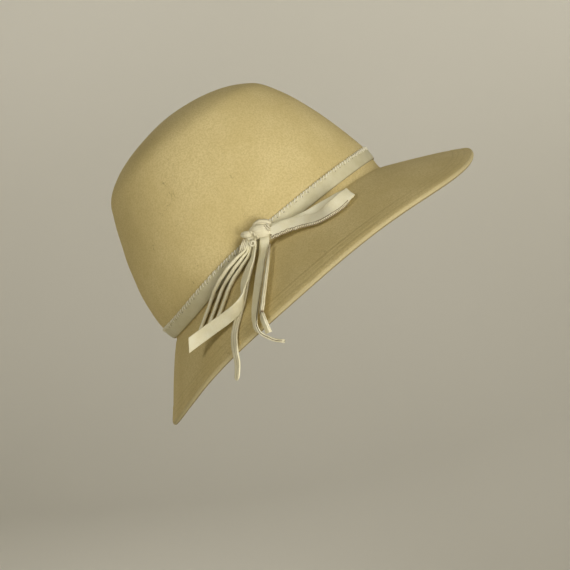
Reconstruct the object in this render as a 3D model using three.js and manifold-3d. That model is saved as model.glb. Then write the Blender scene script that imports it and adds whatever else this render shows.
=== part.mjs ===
// A felt fedora with a round crown, a brim turned down all round and a leather band tied in a bow
// on the wearer's right. Millimetres.
//
// The hat frame is level: +X to the front, +Y to the wearer's left, +Z up the crown, with the origin
// in the middle of the head opening, where the brim leaves the crown. One group tips the felt and the
// band back by WORN_TILT about the wearer's left-right axis, as the hat is worn. The knot, the loop and
// the tails hang from the band, so they are modelled upright, in the worn frame, which has the same
// origin.

import * as THREE from "three";
import Module from "manifold-3d";

// Driving dimensions

const WORN_TILT = THREE.MathUtils.degToRad(42);
const GAP = 0.3; // left between pieces that touch

const FELT = { wall: 2.2, hemWall: 3.8, hemWidth: 12, hemStep: 3, oval: 0.835 };

// Outer face of the crown, from the brim break up to the tip: half its length, and how far the
// middle of the oval lies forward.
const CROWN = [
  { height: 0, halfLength: 100.6, forward: 0 },
  { height: 4, halfLength: 101.3, forward: -0.5 },
  { height: 15, halfLength: 101.9, forward: -0.9 },
  { height: 34, halfLength: 99.1, forward: -1.3 },
  { height: 55, halfLength: 93.7, forward: -0.6 },
  { height: 77, halfLength: 86, forward: 0.5 },
  { height: 97, halfLength: 76.3, forward: 0.6 },
  { height: 107, halfLength: 68, forward: -1.5 },
  { height: 114.5, halfLength: 56.2, forward: -3 },
  { height: 121, halfLength: 38.2, forward: -4.2 },
  { height: 125.7, halfLength: 14.2, forward: -3 },
  { height: 126.8, halfLength: 0, forward: -2.5 },
];

// Outer face of the brim, every 30 degrees from the front to the back: how far it reaches and drops
// from the break, how far it sags below a straight slope near the crown, how high the break sits, and
// how far it dips below that where the wall runs on down past the band.
const BRIM = [
  { reach: 57, drop: 39, sag: 1.4, sit: -2.2, dip: 7 },
  { reach: 62, drop: 46, sag: 1.4, sit: -1.6, dip: 5 },
  { reach: 60, drop: 41.5, sag: 1.2, sit: 0.4, dip: 2 },
  { reach: 54.5, drop: 38, sag: 1, sit: 2, dip: 0 },
  { reach: 50, drop: 37.5, sag: 0.6, sit: 0.6, dip: 0 },
  { reach: 45, drop: 41.5, sag: -0.6, sit: -2.7, dip: 0 },
  { reach: 44, drop: 45, sag: -1.2, sit: -2.2, dip: 0 },
];
const BRIM_SHARES = [1, 0.74, 0.48, 0.23, 0.07];

const BAND = { low: 1, width: 11, thick: 1.2, dome: 0.3 };
const STRAP = { thick: 1.5, square: 0.4, steps: 2, points: 8 };

const AROUND = 60; // facets round the hat
const STATIONS = 21; // rings from the rim to the tip

// The strap pieces, row by row along their middle line: x and z in the worn frame, lift off the felt
// towards the wearer's right, width, the slant of the width seen from that side (lean, from +X to +Z)
// and how far the width is turned out of that view (turn: 0 flat on, 90 edge on), both in degrees.
const LOOP = [
  { x: -3, z: 9.6, lift: 4.6, width: 6.5, lean: 105, turn: -12 },
  { x: 5, z: 12, lift: 5, width: 7.6, lean: 110, turn: -18 },
  { x: 14.5, z: 14.6, lift: 6.2, width: 8.4, lean: 112, turn: -22 },
  { x: 24, z: 18.6, lift: 7, width: 9, lean: 116, turn: -22 },
  { x: 32, z: 23, lift: 7.4, width: 9.4, lean: 120, turn: -22 },
  { x: 40.5, z: 27.9, lift: 7.6, width: 9.5, lean: 125, turn: -24 },
  { x: 47.6, z: 32.4, lift: 8.2, width: 9, lean: 131, turn: -28 },
  { x: 52.8, z: 34.6, lift: 9.2, width: 8.6, lean: 138, turn: -30 },
  { x: 53.4, z: 35.4, lift: 11.2, width: 8.4, lean: 140, turn: -30 },
  { x: 52.6, z: 34.9, lift: 12.2, width: 8.8, lean: 138, turn: -30 },
  { x: 48.6, z: 31.2, lift: 12.6, width: 9.5, lean: 133, turn: -22 },
  { x: 44.2, z: 27, lift: 12.4, width: 9.8, lean: 131, turn: -20 },
  { x: 39.2, z: 22.9, lift: 11.2, width: 10, lean: 127, turn: -34 },
  { x: 35.3, z: 20, lift: 9.6, width: 10, lean: 121, turn: -45 },
  { x: 30, z: 17.2, lift: 8.2, width: 10, lean: 112, turn: -47 },
  { x: 21, z: 15.2, lift: 9.2, width: 9.6, lean: 104, turn: -40 },
  { x: 12, z: 13, lift: 11.2, width: 9.5, lean: 104, turn: -32 },
  { x: 4, z: 10, lift: 9.8, width: 9, lean: 109, turn: -26 },
  { x: -2, z: 6.5, lift: 8, width: 7, lean: 112, turn: -15 },
];

const TAILS = {
  tail_flared: [
    { x: -12.2, z: 5, lift: 7, width: 3.6, lean: 0, turn: 66 },
    { x: -12.4, z: -2.5, lift: 7.6, width: 4.5, lean: 0, turn: 68 },
    { x: -13.6, z: -10.2, lift: 9.4, width: 6.5, lean: -8, turn: 68 },
    { x: -16.1, z: -16.6, lift: 9.4, width: 8, lean: -14, turn: 66 },
    { x: -18.2, z: -23.2, lift: 9.8, width: 8.8, lean: -14, turn: 64 },
    { x: -19.1, z: -28, lift: 10.4, width: 8.8, lean: -14, turn: 69 },
    { x: -19.2, z: -32.5, lift: 11, width: 8.8, lean: -12, turn: 80 },
    { x: -19.4, z: -36.2, lift: 11.2, width: 8.8, lean: -14, turn: 95 },
    { x: -20.8, z: -39.8, lift: 12, width: 8.8, lean: -24, turn: 118 },
    { x: -23, z: -43.4, lift: 12.6, width: 8.8, lean: -34, turn: 140 },
    { x: -26.2, z: -47, lift: 13, width: 8.8, lean: -43, turn: 160 },
    { x: -32, z: -51.6, lift: 14, width: 8.8, lean: -51, turn: 174 },
    { x: -38.7, z: -56.4, lift: 17, width: 8.8, lean: -54, turn: 180 },
    { x: -45.6, z: -61.4, lift: 21.4, width: 8.8, lean: -53, turn: 180 },
    { x: -51.7, z: -65.9, lift: 28.2, width: 8.8, lean: -52, turn: 180 },
    { x: -56.8, z: -69.7, lift: 35.2, width: 8.8, lean: -52, turn: 180 },
  ],
  tail_long: [
    { x: -11.4, z: 5, lift: 4.4, width: 2.4, lean: 0, turn: 52 },
    { x: -11.9, z: -3, lift: 3.6, width: 2.6, lean: 0, turn: 52 },
    { x: -14.8, z: -14.5, lift: 3.6, width: 5, lean: 0, turn: 50 },
    { x: -18, z: -26.5, lift: 3.2, width: 6, lean: -8, turn: 50 },
    { x: -19.3, z: -35, lift: 3.2, width: 6, lean: -12, turn: 50 },
    { x: -20.9, z: -42.5, lift: 3.2, width: 6, lean: -16, turn: 52 },
    { x: -23.2, z: -52, lift: 3.2, width: 6, lean: -16, turn: 54 },
    { x: -24.8, z: -59, lift: 3.4, width: 6, lean: -8, turn: 56 },
    { x: -25, z: -65.5, lift: 4.2, width: 6, lean: 2, turn: 56 },
    { x: -24, z: -72, lift: 5.2, width: 6, lean: 8, turn: 54 },
    { x: -22.8, z: -79.5, lift: 7, width: 5.6, lean: 6, turn: 50 },
    { x: -22.7, z: -86, lift: 9.5, width: 5, lean: -2, turn: 50 },
    { x: -23.3, z: -91.5, lift: 12, width: 4, lean: -6, turn: 50 },
  ],
  tail_curled: [
    { x: -5, z: 6.5, lift: 7.4, width: 6.2, lean: 0, turn: 0 },
    { x: -5.6, z: -0.4, lift: 6, width: 6.8, lean: 0, turn: 20 },
    { x: -6.2, z: -5.5, lift: 4.2, width: 7, lean: 0, turn: 42 },
    { x: -7, z: -10.2, lift: 3.4, width: 7, lean: 0, turn: 49 },
    { x: -8.2, z: -18.4, lift: 3.1, width: 7, lean: 0, turn: 51 },
    { x: -9.1, z: -26, lift: 3.1, width: 7, lean: 0, turn: 52 },
    { x: -10.3, z: -36, lift: 3.1, width: 7.2, lean: 0, turn: 58 },
    { x: -11.1, z: -45, lift: 3.6, width: 7.4, lean: 0, turn: 67 },
    { x: -11, z: -51, lift: 4.6, width: 7.8, lean: 0, turn: 75 },
    { x: -9.8, z: -56, lift: 6.2, width: 8, lean: 25, turn: 82 },
    { x: -7.3, z: -59.6, lift: 7.6, width: 8.2, lean: 50, turn: 86 },
    { x: -3.3, z: -62, lift: 8.6, width: 8.5, lean: 62, turn: 88 },
    { x: 1.6, z: -64, lift: 9.5, width: 8.5, lean: 75, turn: 88 },
    { x: 7.8, z: -64.7, lift: 10, width: 8.5, lean: 85, turn: 88 },
  ],
  tail_kinked: [
    { x: -1.7, z: -1, lift: 7.2, width: 2.4, lean: 0, turn: 84 },
    { x: -2.8, z: -11, lift: 7.6, width: 4, lean: 0, turn: 84 },
    { x: -3.9, z: -21, lift: 7.8, width: 5, lean: 0, turn: 84 },
    { x: -5, z: -31, lift: 7.8, width: 5.5, lean: 0, turn: 84 },
    { x: -5.9, z: -40, lift: 8, width: 6, lean: 0, turn: 84 },
    { x: -6.5, z: -46.8, lift: 8, width: 6, lean: 6, turn: 80 },
    { x: -4.6, z: -52.4, lift: 6.6, width: 6, lean: 22, turn: 66 },
    { x: -1.6, z: -59.4, lift: 7.6, width: 6, lean: 24, turn: 60 },
  ],
  tail_edge_1: [
    { x: -18.9, z: -4.4, lift: 5, width: 4, lean: -45, turn: 90 },
    { x: -25.3, z: -10.7, lift: 5.6, width: 5, lean: -42, turn: 90 },
    { x: -32.6, z: -19.3, lift: 6, width: 5.5, lean: -38, turn: 90 },
    { x: -39.4, z: -30.2, lift: 6, width: 5.5, lean: -30, turn: 90 },
    { x: -43.6, z: -41.3, lift: 5, width: 5.5, lean: -22, turn: 90 },
    { x: -46.4, z: -49, lift: 4.6, width: 5.5, lean: -20, turn: 90 },
    { x: -50.9, z: -60.8, lift: 4.4, width: 5.5, lean: -20, turn: 90 },
  ],
  tail_edge_2: [
    { x: -17.4, z: -5.4, lift: 5, width: 4, lean: -45, turn: 90 },
    { x: -20.3, z: -9.2, lift: 5.2, width: 4.5, lean: -42, turn: 90 },
    { x: -25.8, z: -16.5, lift: 5.4, width: 5.5, lean: -38, turn: 90 },
    { x: -30.8, z: -24, lift: 5.2, width: 5.5, lean: -34, turn: 90 },
    { x: -35, z: -31.5, lift: 4.8, width: 5.5, lean: -28, turn: 90 },
    { x: -39.2, z: -43, lift: 4.6, width: 5.5, lean: -20, turn: 90 },
    { x: -44.6, z: -58, lift: 4.4, width: 5.5, lean: -20, turn: 90 },
  ],
  tail_edge_3: [
    { x: -15.8, z: -6.3, lift: 4.4, width: 3.2, lean: -45, turn: 90 },
    { x: -21.1, z: -15.4, lift: 4.8, width: 5, lean: -36, turn: 90 },
    { x: -26, z: -22.8, lift: 4.6, width: 5.5, lean: -30, turn: 90 },
    { x: -30, z: -30.4, lift: 4.4, width: 5.5, lean: -26, turn: 90 },
    { x: -33.7, z: -41.3, lift: 4.4, width: 5.5, lean: -18, turn: 90 },
    { x: -37.5, z: -51.5, lift: 4.4, width: 5.5, lean: -18, turn: 90 },
  ],
};
const END_SLANTS = { tail_flared: -36 }; // the cut of a tail's end, off square
const SLANT_RINGS = 4; // over which a slanted end's cut sets in

// The rolls of leather that make the knot, in the same columns, with the thickness of each.
const KNOT_ROLLS = {
  lobe: [
    { x: -13.5, z: 11.8, lift: 3.4, width: 1.6, thick: 2, lean: 135, turn: 0 },
    { x: -11.6, z: 13.5, lift: 5, width: 3, thick: 3.8, lean: 125, turn: 0 },
    { x: -9, z: 14.6, lift: 5.8, width: 3.8, thick: 4.6, lean: 105, turn: 0 },
    { x: -6, z: 14.8, lift: 6, width: 4.2, thick: 4.8, lean: 88, turn: 0 },
    { x: -3.2, z: 14.5, lift: 5.4, width: 3.8, thick: 4.4, lean: 80, turn: 0 },
    { x: -1.6, z: 14.3, lift: 4.2, width: 2.4, thick: 3, lean: 75, turn: 0 },
  ],
  wrap: [
    { x: -14.6, z: 6.4, lift: 5.8, width: 4.4, thick: 3, lean: 112, turn: 0 },
    { x: -11.8, z: 7.4, lift: 7.4, width: 8, thick: 4, lean: 112, turn: 0 },
    { x: -8.2, z: 8.2, lift: 8.2, width: 9.4, thick: 4.4, lean: 110, turn: 0 },
    { x: -4.8, z: 8.8, lift: 7.8, width: 8.6, thick: 4, lean: 108, turn: 0 },
    { x: -2.2, z: 9, lift: 6.4, width: 6.4, thick: 2.6, lean: 106, turn: 0 },
  ],
  roll: [
    { x: -21, z: 5.6, lift: 4.6, width: 1.6, thick: 2, lean: 80, turn: 0 },
    { x: -20, z: 5.8, lift: 5.8, width: 3.8, thick: 4.2, lean: 84, turn: 0 },
    { x: -17.8, z: 6.1, lift: 7, width: 4.8, thick: 5.4, lean: 90, turn: 0 },
    { x: -15.8, z: 6.2, lift: 7.2, width: 4.6, thick: 5.2, lean: 92, turn: 0 },
    { x: -14.2, z: 6.4, lift: 6.2, width: 3, thick: 3.6, lean: 95, turn: 0 },
  ],
  heart: [
    { x: -17, z: 3.4, lift: 4.6, width: 5, thick: 4.4, lean: 130, turn: 0 },
    { x: -11.5, z: 7.5, lift: 5.6, width: 9.5, thick: 6, lean: 122, turn: 0 },
    { x: -6.5, z: 10.5, lift: 5.6, width: 8, thick: 6, lean: 115, turn: 0 },
  ],
  gather: [
    { x: -16, z: 3.8, lift: 4.2, width: 4.6, thick: 3, lean: -15, turn: 0 },
    { x: -16.6, z: -0.8, lift: 4.4, width: 5.6, thick: 3.2, lean: -25, turn: 0 },
    { x: -17.5, z: -5.4, lift: 4.6, width: 5.4, thick: 2.6, lean: -35, turn: 0 },
  ],
};
const KNOT = { steps: 4, points: 10, square: 0.8 };

// Smooth values and surfaces

// A value between the rows of a table: Catmull-Rom through one named column, with the end rows repeated.
function along(rows, column, t) {
  const last = rows.length - 1;
  const i = Math.min(Math.floor(t), last - 1);
  const [a, b, c, d] = [i - 1, i, i + 1, i + 2].map((k) => rows[THREE.MathUtils.clamp(k, 0, last)][column]);
  const s = t - i;
  return b + 0.5 * s * (c - a + s * (2 * a - 5 * b + 4 * c - d + s * (3 * (b - c) + d - a)));
}

// One brim column at an azimuth from the front: the cosine series that passes through every row.
function around(column, azimuth) {
  const last = BRIM.length - 1;
  const half = (k) => (k === 0 || k === last ? 0.5 : 1);
  let sum = 0;
  for (let k = 0; k <= last; k++) {
    BRIM.forEach((row, j) => {
      const wave = Math.cos((k * j * Math.PI) / last) * Math.cos(k * azimuth);
      sum += (half(j) * half(k) * row[column] * wave * 2) / last;
    });
  }
  return sum;
}

// Rows of the felt's outer profile at an azimuth, from the rim to the tip. out is measured from the
// base oval, along its length.
const profiles = new Map();
function feltProfile(azimuth) {
  if (profiles.has(azimuth)) return profiles.get(azimuth);
  const columns = ["reach", "drop", "sag", "sit", "dip"];
  const [reach, drop, sag, sit, dip] = columns.map((name) => around(name, azimuth));
  const tip = CROWN.at(-1).height;
  const sagPeak = 6.75; // makes q (1 - q)^2 peak at one
  const brim = BRIM_SHARES.map((q) => ({
    out: reach * q,
    up: sit - drop * q - sag * sagPeak * q * (1 - q) ** 2 - dip * (1 - q) ** 3,
    forward: 0,
  }));
  const crown = CROWN.map(({ height, halfLength, forward }) => ({
    out: halfLength - CROWN[0].halfLength,
    up: sit + (height * (tip - sit)) / tip - (height === 0 ? dip : 0),
    forward,
  }));
  profiles.set(azimuth, [...brim, ...crown]);
  return profiles.get(azimuth);
}
const PROFILE_END = BRIM_SHARES.length + CROWN.length - 1;
const BREAK_ROW = BRIM_SHARES.length;

// A point of the felt's outer face, at an azimuth and a place t along the profile.
function feltFace(azimuth, t) {
  const profile = feltProfile(azimuth);
  const out = along(profile, "out", t);
  const halfLength = CROWN[0].halfLength + out;
  const halfWidth = CROWN[0].halfLength * FELT.oval + (out > 0 ? out : out * FELT.oval);
  return new THREE.Vector3(
    along(profile, "forward", t) + halfLength * Math.cos(azimuth),
    halfWidth * Math.sin(azimuth),
    along(profile, "up", t),
  );
}

// The outward normal there, from small steps each way along the face.
function feltNormal(azimuth, t) {
  const step = 0.01;
  if (t > PROFILE_END - step) return new THREE.Vector3(0, 0, 1);
  const round = feltFace(azimuth + step, t).sub(feltFace(azimuth - step, t));
  const up = feltFace(azimuth, t + step).sub(feltFace(azimuth, Math.max(t - step, 0)));
  return round.cross(up).normalize();
}

// Where the profile at an azimuth passes a height.
function placeAt(azimuth, height) {
  let [low, high] = [0, PROFILE_END];
  for (let i = 0; i < 24; i++) {
    const middle = (low + high) / 2;
    if (along(feltProfile(azimuth), "up", middle) < height) low = middle;
    else high = middle;
  }
  return low;
}

// The y of the felt's face on the wearer's right, at x and z of the worn frame. Below the rim it is
// the rim's own.
function rightFace(x, z) {
  const front = x * Math.cos(WORN_TILT) + z * Math.sin(WORN_TILT);
  const height = z * Math.cos(WORN_TILT) - x * Math.sin(WORN_TILT);
  let azimuth = -Math.PI / 2;
  let t = 0;
  for (let i = 0; i < 10; i++) {
    t = placeAt(azimuth, height);
    const halfLength = CROWN[0].halfLength + along(feltProfile(azimuth), "out", t);
    const middle = along(feltProfile(azimuth), "forward", t);
    azimuth = -Math.acos(THREE.MathUtils.clamp((front - middle) / halfLength, -1, 1));
  }
  return feltFace(azimuth, t).y;
}

// Solids from rings of points

// A closed solid skinned over rings of equal length. Its ends are fans to their middles, or the last
// ring meets the first.
function skin(rings, { loop = false } = {}) {
  const count = rings[0].length;
  const points = rings.flat();
  const faces = [];
  const spans = loop ? rings.length : rings.length - 1;
  for (let r = 0; r < spans; r++) {
    for (let k = 0; k < count; k++) {
      const [a, b] = [r * count + k, r * count + ((k + 1) % count)];
      const next = ((r + 1) % rings.length) * count;
      const [c, d] = [next + k, next + ((k + 1) % count)];
      faces.push(a, b, d, a, d, c);
    }
  }
  if (!loop) {
    for (const [r, first] of [[0, true], [rings.length - 1, false]]) {
      const middle = points.length;
      points.push(rings[r].reduce((sum, p) => sum.add(p), new THREE.Vector3()).divideScalar(count));
      for (let k = 0; k < count; k++) {
        const [a, b] = [r * count + k, r * count + ((k + 1) % count)];
        faces.push(...(first ? [middle, b, a] : [middle, a, b]));
      }
    }
  }
  const geometry = new THREE.BufferGeometry().setFromPoints(points);
  geometry.setIndex(volumeOf(points, faces) < 0 ? faces.reverse() : faces);
  geometry.computeVertexNormals();
  return geometry;
}

function volumeOf(points, faces) {
  let sum = 0;
  for (let i = 0; i < faces.length; i += 3) {
    const [a, b, c] = [0, 1, 2].map((k) => points[faces[i + k]]);
    sum += a.dot(b.clone().cross(c)) / 6;
  }
  return sum;
}

const azimuths = Array.from({ length: AROUND }, (_, k) => (k * 2 * Math.PI) / AROUND);

// Felt body: crown and brim in one wall, with the brim's edge folded under and hemmed

function feltBody() {
  const places = Array.from({ length: STATIONS }, (_, k) => (k * PROFILE_END) / STATIONS);
  const wallAt = (azimuth, t) => {
    const fromRim = feltFace(azimuth, t).distanceTo(feltFace(azimuth, 0));
    const plain = THREE.MathUtils.smoothstep(fromRim, FELT.hemWidth, FELT.hemWidth + FELT.hemStep);
    return t < BREAK_ROW ? THREE.MathUtils.lerp(FELT.hemWall, FELT.wall, plain) : FELT.wall;
  };
  const inside = (azimuth, t) =>
    feltFace(azimuth, t).addScaledVector(feltNormal(azimuth, t), -wallAt(azimuth, t));
  const outer = places.map((t) => azimuths.map((a) => feltFace(a, t)));
  const inner = places.map((t) => azimuths.map((a) => inside(a, t)));
  const slope = azimuths.map((a) => feltFace(a, 0).sub(feltFace(a, 0.05)).normalize());
  const roundEdge = [0.25, 0.5, 0.75].map((share) => {
    const bulge = (Math.sin(share * Math.PI) * FELT.hemWall) / 2;
    return outer[0].map((p, k) => p.clone().lerp(inner[0][k], share).addScaledVector(slope[k], bulge));
  });
  return skin([...outer.reverse(), ...roundEdge, ...inner]);
}

// A ring of leather round the foot of the crown, from one height off the felt to another

function crownRing(low, high, inside, outside, dome) {
  const shares = [0, 0.5, 1];
  const at = (azimuth, share, off) => {
    const sit = around("sit", azimuth);
    const t = placeAt(azimuth, sit + THREE.MathUtils.lerp(low, high, share));
    return feltFace(azimuth, t).addScaledVector(feltNormal(azimuth, t), off);
  };
  const rings = azimuths.map((a) => [
    ...shares.map((s) => at(a, s, inside)),
    ...shares.toReversed().map((s) => at(a, s, outside + dome * Math.sin(s * Math.PI))),
  ]);
  return skin(rings, { loop: true });
}

// A strap swept along its rows

function sweep(rows, { thick, steps, points, square, grow = 0, slant = 0 }) {
  const count = (rows.length - 1) * steps;
  const places = Array.from({ length: count + 1 }, (_, k) => k / steps);
  const stops = rows.map(({ x, z, lift }) => ({ x, y: rightFace(x, z) - lift, z }));
  const middle = places.map(
    (t) => new THREE.Vector3(along(stops, "x", t), along(stops, "y", t), along(stops, "z", t)),
  );
  const rings = places.map((t, i) => {
    const tangent = middle[Math.min(i + 1, count)].clone().sub(middle[Math.max(i - 1, 0)]).normalize();
    const lean = THREE.MathUtils.degToRad(along(rows, "lean", t));
    const turn = THREE.MathUtils.degToRad(along(rows, "turn", t));
    const across = new THREE.Vector3(
      Math.cos(lean) * Math.cos(turn),
      -Math.sin(turn),
      Math.sin(lean) * Math.cos(turn),
    );
    across.addScaledVector(tangent, -across.dot(tangent)).normalize();
    const through = tangent.clone().cross(across);
    const halfWidth = along(rows, "width", t) / 2 + grow;
    const halfThick = (thick ?? along(rows, "thick", t)) / 2 + grow;
    const nearEnd = Math.max(0, 1 - (count - i) / SLANT_RINGS);
    const skew = nearEnd ** 2 * Math.tan(THREE.MathUtils.degToRad(slant));
    const past = (i === count ? grow : 0) - (i === 0 ? grow : 0);
    return Array.from({ length: points }, (_, k) => {
      const angle = ((k + 0.5) * 2 * Math.PI) / points;
      const [c, s] = [Math.cos(angle), Math.sin(angle)];
      const aside = halfWidth * Math.sign(c) * Math.abs(c) ** square;
      return middle[i]
        .clone()
        .addScaledVector(across, aside)
        .addScaledVector(through, halfThick * Math.sign(s) * Math.abs(s) ** square)
        .addScaledVector(tangent, past + aside * skew);
    });
  });
  return skin(rings);
}

const strap = (rows, { grow = 0, slant = 0 } = {}) => sweep(rows, { ...STRAP, grow, slant });

// Knot: the rolls joined, less the room of the band and of the straps that run into it

const wasm = await Module();
wasm.setup();

function solidOf(geometry) {
  return new wasm.Manifold(
    new wasm.Mesh({
      numProp: 3,
      vertProperties: Float32Array.from(geometry.attributes.position.array),
      triVerts: Uint32Array.from(geometry.index.array),
    }),
  );
}

function geometryOf(solid) {
  const mesh = solid.getMesh();
  const geometry = new THREE.BufferGeometry();
  geometry.setAttribute("position", new THREE.BufferAttribute(mesh.vertProperties, 3));
  geometry.setIndex(new THREE.BufferAttribute(mesh.triVerts, 1));
  geometry.computeVertexNormals();
  return geometry;
}

// Its largest body is the knot: a sliver that a strap cuts off is dropped.
function knot(straps) {
  const rolls = Object.values(KNOT_ROLLS).map((rows) => solidOf(sweep(rows, KNOT)));
  const whole = rolls.reduce((sum, roll) => sum.add(roll));
  const [roomBack, roomFront] = [-1, GAP + BAND.thick + GAP]; // its back lies inside the felt
  const bandRoom = crownRing(BAND.low - GAP, BAND.low + BAND.width + GAP, roomBack, roomFront, BAND.dome);
  const room = [bandRoom.applyMatrix4(wornMatrix), ...straps.map((rows) => strap(rows, { grow: GAP }))];
  const left = room.reduce((rest, taken) => rest.subtract(solidOf(taken)), whole);
  const bodies = left.decompose().sort((a, b) => b.volume() - a.volume());
  return geometryOf(bodies[0]);
}

// The whole hat

const felt = { color: 0xd6c48c, roughness: 0.95, metalness: 0 };
const leather = { color: 0xebe5cb, roughness: 0.6, metalness: 0 };

const fedora = new THREE.Group();
const worn = new THREE.Group();
worn.rotation.y = -WORN_TILT;
fedora.add(worn);
const wornMatrix = new THREE.Matrix4().makeRotationY(-WORN_TILT);

function add(group, name, geometry, look) {
  const mesh = new THREE.Mesh(geometry, new THREE.MeshStandardMaterial(look));
  mesh.name = name;
  group.add(mesh);
}

add(worn, "felt_body", feltBody(), felt);
add(worn, "hat_band", crownRing(BAND.low, BAND.low + BAND.width, GAP, GAP + BAND.thick, BAND.dome), leather);
add(fedora, "knot", knot([LOOP, ...Object.values(TAILS)]), leather);
add(fedora, "bow_loop", strap(LOOP), leather);
for (const [name, rows] of Object.entries(TAILS)) {
  add(fedora, name, strap(rows, { slant: END_SLANTS[name] }), leather);
}

export default fedora;
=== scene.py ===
"""The looks of a felt fedora with a leather band tied in a bow. Shapes are worked out in millimetres, in
the same two frames as the part: the hat frame, level, and the worn frame, tipped back, which is the row
frame."""
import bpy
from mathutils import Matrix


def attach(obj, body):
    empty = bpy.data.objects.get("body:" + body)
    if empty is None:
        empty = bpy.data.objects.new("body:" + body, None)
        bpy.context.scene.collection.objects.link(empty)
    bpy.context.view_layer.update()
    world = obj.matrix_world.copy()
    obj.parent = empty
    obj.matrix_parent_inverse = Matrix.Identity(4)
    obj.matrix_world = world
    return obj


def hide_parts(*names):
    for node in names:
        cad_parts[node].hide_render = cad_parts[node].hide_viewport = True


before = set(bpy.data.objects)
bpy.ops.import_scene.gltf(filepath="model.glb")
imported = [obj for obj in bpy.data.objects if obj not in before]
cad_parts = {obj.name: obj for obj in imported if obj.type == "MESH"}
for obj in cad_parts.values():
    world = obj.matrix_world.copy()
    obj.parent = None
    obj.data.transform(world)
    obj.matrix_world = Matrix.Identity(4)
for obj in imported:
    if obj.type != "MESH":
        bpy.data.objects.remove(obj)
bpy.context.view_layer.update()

from types import SimpleNamespace as Form

import bpy
import numpy as np

MM = 0.001
TURN = 2 * np.pi


def table(names, *rows):
    """A table as one array for each named column."""
    return dict(zip(names.split(), np.array(rows, float).T))


def tables(names, **sets):
    """A table for each named set of rows, all with the same columns."""
    return {key: table(names, *rows) for key, rows in sets.items()}


# Driving dimensions of the felt

TILT = np.radians(42)
FELT = Form(
    oval=0.835, wall=2.2, hem_wall=3.8, hem_width=12, hem_step=3, hem_rise=0.25, hem_blend=1, hem_start=2
)

CROWN = table(
    "height half_length forward",
    (0, 100.6, 0), (4, 101.3, -0.5), (15, 101.9, -0.9), (34, 99.1, -1.3), (55, 93.7, -0.6), (77, 86, 0.5),
    (97, 76.3, 0.6), (107, 68, -1.5), (114.5, 56.2, -3), (121, 38.2, -4.2), (125.7, 14.2, -3),
    (126.8, 0, -2.5),
)
BRIM = table(
    "reach drop sag sit dip",
    (57, 39, 1.4, -2.2, 7), (62, 46, 1.4, -1.6, 5), (60, 41.5, 1.2, 0.4, 2), (54.5, 38, 1, 2, 0),
    (50, 37.5, 0.6, 0.6, 0), (45, 41.5, -0.6, -2.7, 0), (44, 45, -1.2, -2.2, 0),
)
BRIM_SHARES = np.array([1, 0.74, 0.48, 0.23, 0.07])
SAG_PEAK = 27 / 4
BASE = CROWN["half_length"][0]
BREAK_ROW = len(BRIM_SHARES)
PROFILE_END = BREAK_ROW + len(CROWN["height"]) - 1

FELT_RIPPLES = table("wavelength depth seed", (70, 0.3, 3), (24, 0.12, 4))
RIPPLE_START = (4, 20)
RIM_ROWS = table("from_rim depth", (4.6, 0.13), (9, 0.1), (13, 0.08))
RIM_ROW_WIDTH = 0.55

# On the round edge from_rim runs from 0 down to minus EDGE_SPAN, and on the inner face it starts at INSIDE.
EDGE_SPAN = 10
INSIDE = 60


# Driving dimensions of the band and the bow

# The band's lower edge is darkened with painted shade where it meets the felt, at a strength and over a
# width given here.
BAND = Form(
    low=1, width=11, thick=1, gap=0.05, dome=0.2, edge=0.8,
    scallop=0.45, scallop_level=0.6, scallop_run=4, pucker=0.16, soil=0.7, soil_width=0.5,
)
STITCH = Form(pitch=2.85, bite=2.3, thread=0.42, slant=0.7)
STITCH_RISE = table("along bite over", (0, -1, 0), (0.8, 0, 0.05), (1, 0, -0.1))
STITCH_OFF = table("along off", (0, -0.25), (0.12, 0.2), (0.5, 0.45), (0.8, 0.15), (1, -0.9))
STITCH_UNEVEN = Form(start=0.15, slant=0.5, bite=0.35, seed=5)
# The needle holes, which are darkened with painted shade
HOLE = Form(every=2, stretch=2, inner=0.3, outer=0.75)

STRAP_COLUMNS = "x z lift width lean turn"
LOOP = table(
    STRAP_COLUMNS,
    (-3, 9.6, 4.6, 6.5, 105, -12), (5, 12, 5, 7.6, 110, -18), (14.5, 14.6, 6.2, 8.4, 112, -22),
    (24, 18.6, 7, 9, 116, -22), (32, 23, 7.4, 9.4, 120, -22), (40.5, 27.9, 7.6, 9.5, 125, -24),
    (47.6, 32.4, 8.2, 9, 131, -28), (52.8, 34.6, 9.2, 8.6, 138, -30), (53.4, 35.4, 11.2, 8.4, 140, -30),
    (52.6, 34.9, 12.2, 8.8, 138, -30), (48.6, 31.2, 12.6, 9.5, 133, -22), (44.2, 27, 12.4, 9.8, 131, -20),
    (39.2, 22.9, 11.2, 10, 127, -34), (35.3, 20, 9.6, 10, 121, -45), (30, 17.2, 8.2, 10, 112, -47),
    (21, 15.2, 9.2, 9.6, 104, -40), (12, 13, 11.2, 9.5, 104, -32), (4, 10, 9.8, 9, 109, -26),
    (-2, 6.5, 8, 7, 112, -15),
)
LOOP_NEAR = 10
# Painted shade over the middle of the loop's near leaf, where it turns from the light.
LOOP_HOLLOW = Form(row=13.4, spread=1.8, tone=0.14)
LOOP_SEED = 11
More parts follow.
